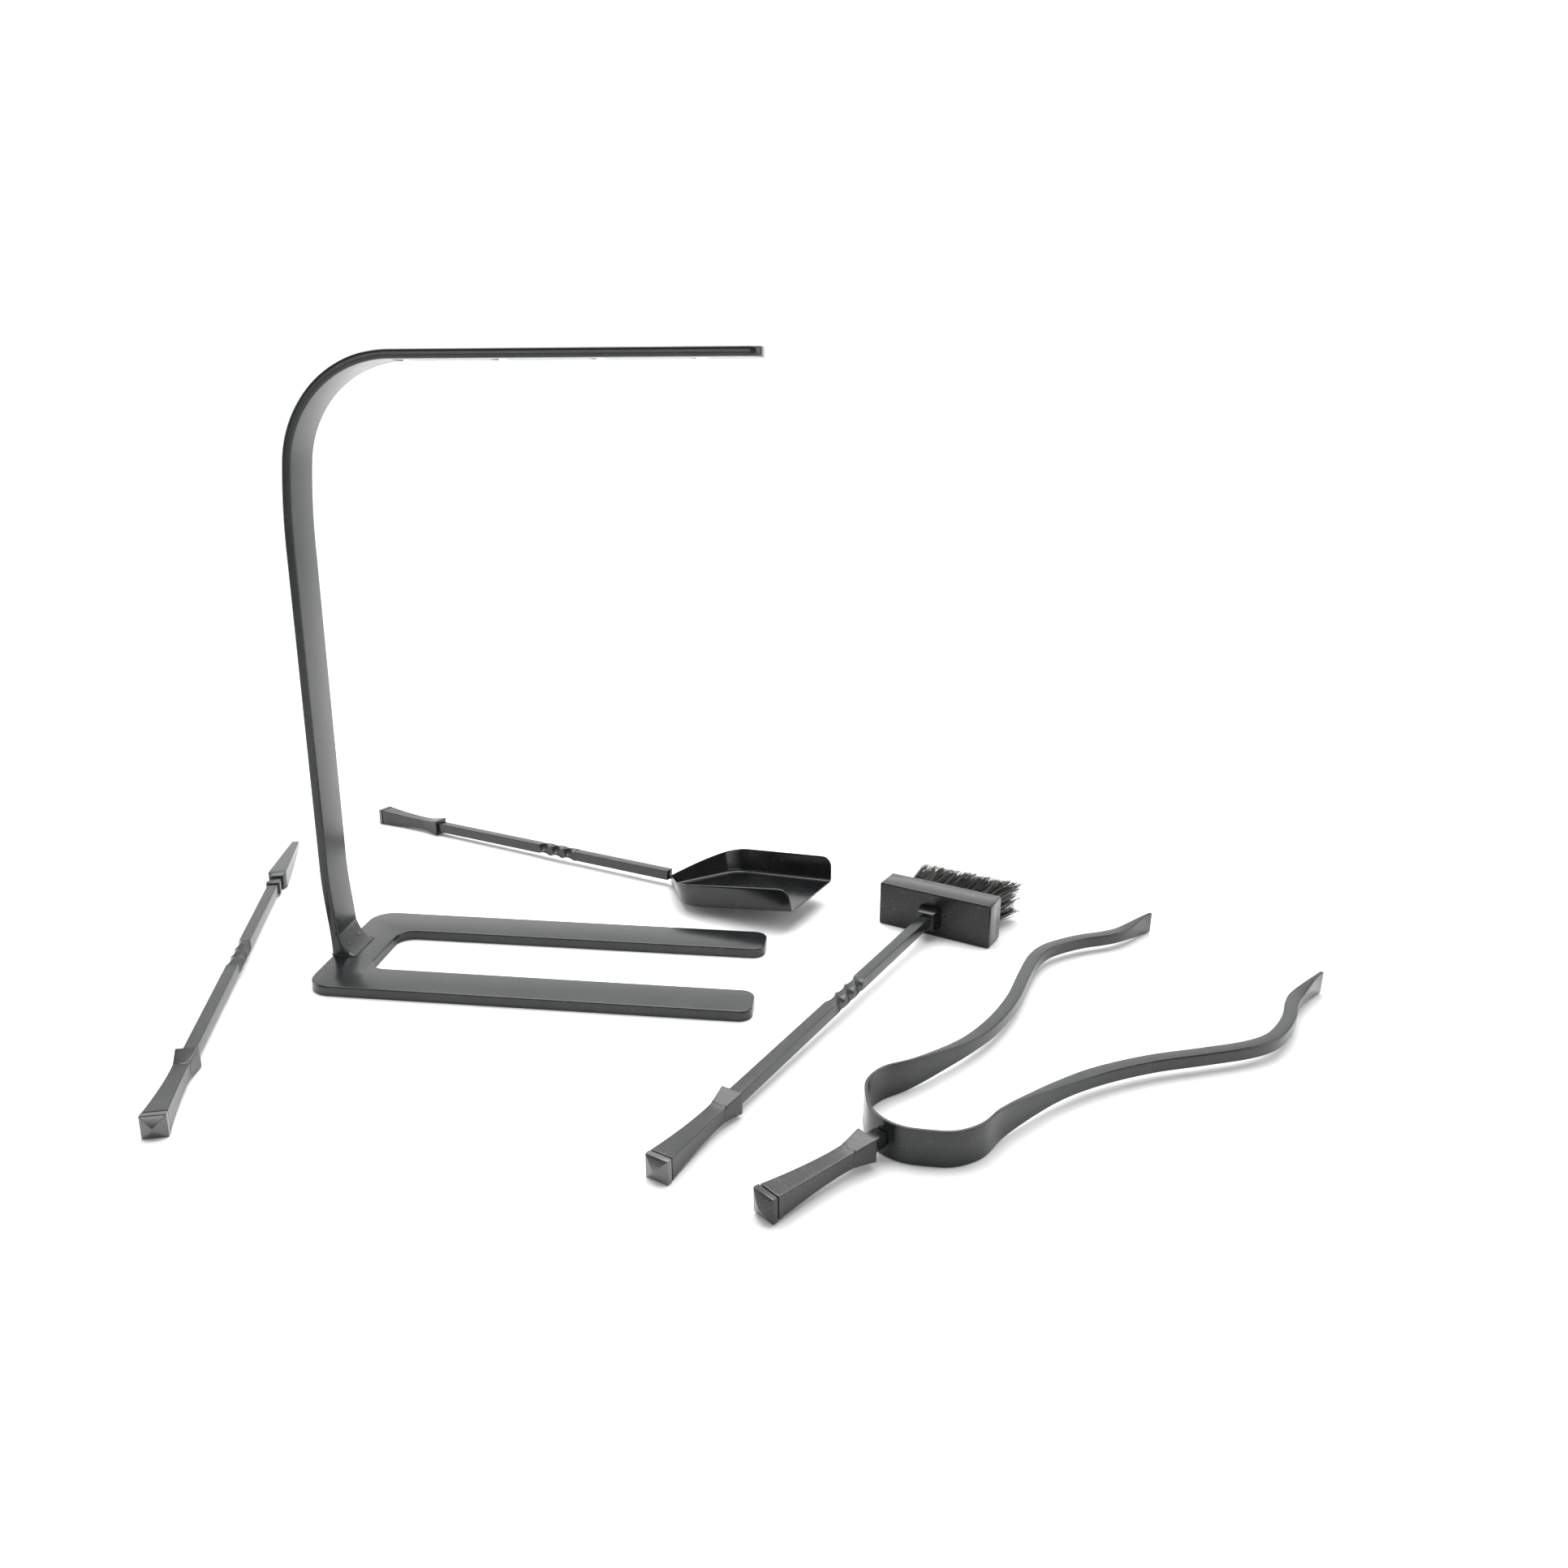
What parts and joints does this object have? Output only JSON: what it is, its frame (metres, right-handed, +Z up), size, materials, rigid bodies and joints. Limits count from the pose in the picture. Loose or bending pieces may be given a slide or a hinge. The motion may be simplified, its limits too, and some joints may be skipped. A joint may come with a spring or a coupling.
{
  "type": "fireplace tool set",
  "caption": "Black steel hearth set: a C-shaped stand on a forked base, with poker, shovel, brush and tongs that have square tapered grips and twisted shafts.",
  "frame": {"origin": "on the floor, at the middle of the back strip of the base plate that the upright stands on", "axes": "+X along the stand's arm and the base's legs, away from the upright; +Y towards the open mouths of the arm's slots; +Z up"},
  "size_m": [1.2748, 0.8584, 0.644],
  "materials": {
    "black_powder_coat": "satin black powder coat with a very fine texture",
    "dark_screw_steel": "dark zinc plate",
    "brush_block_wood": "bare beech, hidden inside the brush head",
    "black_bristle": "matte black fibre"
  },
  "bodies": {
    "stand": {"stand_bar": "black_powder_coat", "base_fork": "black_powder_coat", "foot_screw_near": "dark_screw_steel", "foot_screw_far": "dark_screw_steel"},
    "poker": {"poker_cap": "black_powder_coat", "poker_cap_stud": "dark_screw_steel", "poker_grip": "black_powder_coat", "poker_shaft": "black_powder_coat", "poker_ring": "black_powder_coat", "poker_tip": "black_powder_coat"},
    "shovel": {"shovel_cap": "black_powder_coat", "shovel_cap_stud": "dark_screw_steel", "shovel_grip": "black_powder_coat", "shovel_shaft": "black_powder_coat", "shovel_pan": "black_powder_coat"},
    "brush": {"brush_cap": "black_powder_coat", "brush_cap_stud": "dark_screw_steel", "brush_grip": "black_powder_coat", "brush_shaft": "black_powder_coat", "brush_ferrule": "black_powder_coat", "brush_head": "black_powder_coat", "brush_block": "brush_block_wood", "brush_bristles": "black_bristle"},
    "tongs": {"tongs_cap": "black_powder_coat", "tongs_cap_stud": "dark_screw_steel", "tongs_grip": "black_powder_coat", "tongs_neck": "black_powder_coat", "tongs_rivet": "black_powder_coat", "tongs_bow": "black_powder_coat"},
    "tongs_left": {"tongs_arm_left": "black_powder_coat"},
    "tongs_right": {"tongs_arm_right": "black_powder_coat"}
  },
  "joints": [
    {"name": "poker_lift", "type": "slide", "parent": "stand", "child": "poker", "axis": [0, 0, 1], "range_m": [0, 0.3]},
    {"name": "shovel_lift", "type": "slide", "parent": "stand", "child": "shovel", "axis": [0, 0, 1], "range_m": [0, 0.3]},
    {"name": "brush_lift", "type": "slide", "parent": "stand", "child": "brush", "axis": [0, 0, 1], "range_m": [0, 0.3]},
    {"name": "tongs_lift", "type": "slide", "parent": "stand", "child": "tongs", "axis": [0, 0, 1], "range_m": [0, 0.3]},
    {"name": "tongs_left_squeeze", "type": "hinge", "parent": "tongs", "child": "tongs_left", "pos_m": [0.56317, -0.24312, 0.01675], "axis": [-0.0048, -0.0051, -1], "range_deg": [-3, 10.2], "stiffness_Nm_per_rad": 9},
    {"name": "tongs_right_squeeze", "type": "hinge", "parent": "tongs", "child": "tongs_right", "pos_m": [0.63442, -0.31041, 0.01675], "axis": [0.0048, 0.0051, 1], "range_deg": [-3, 10.2], "stiffness_Nm_per_rad": 9}
  ],
  "couplings": [
    {"joint": "tongs_right_squeeze", "follows": "tongs_left_squeeze", "ratio": 1}
  ]
}
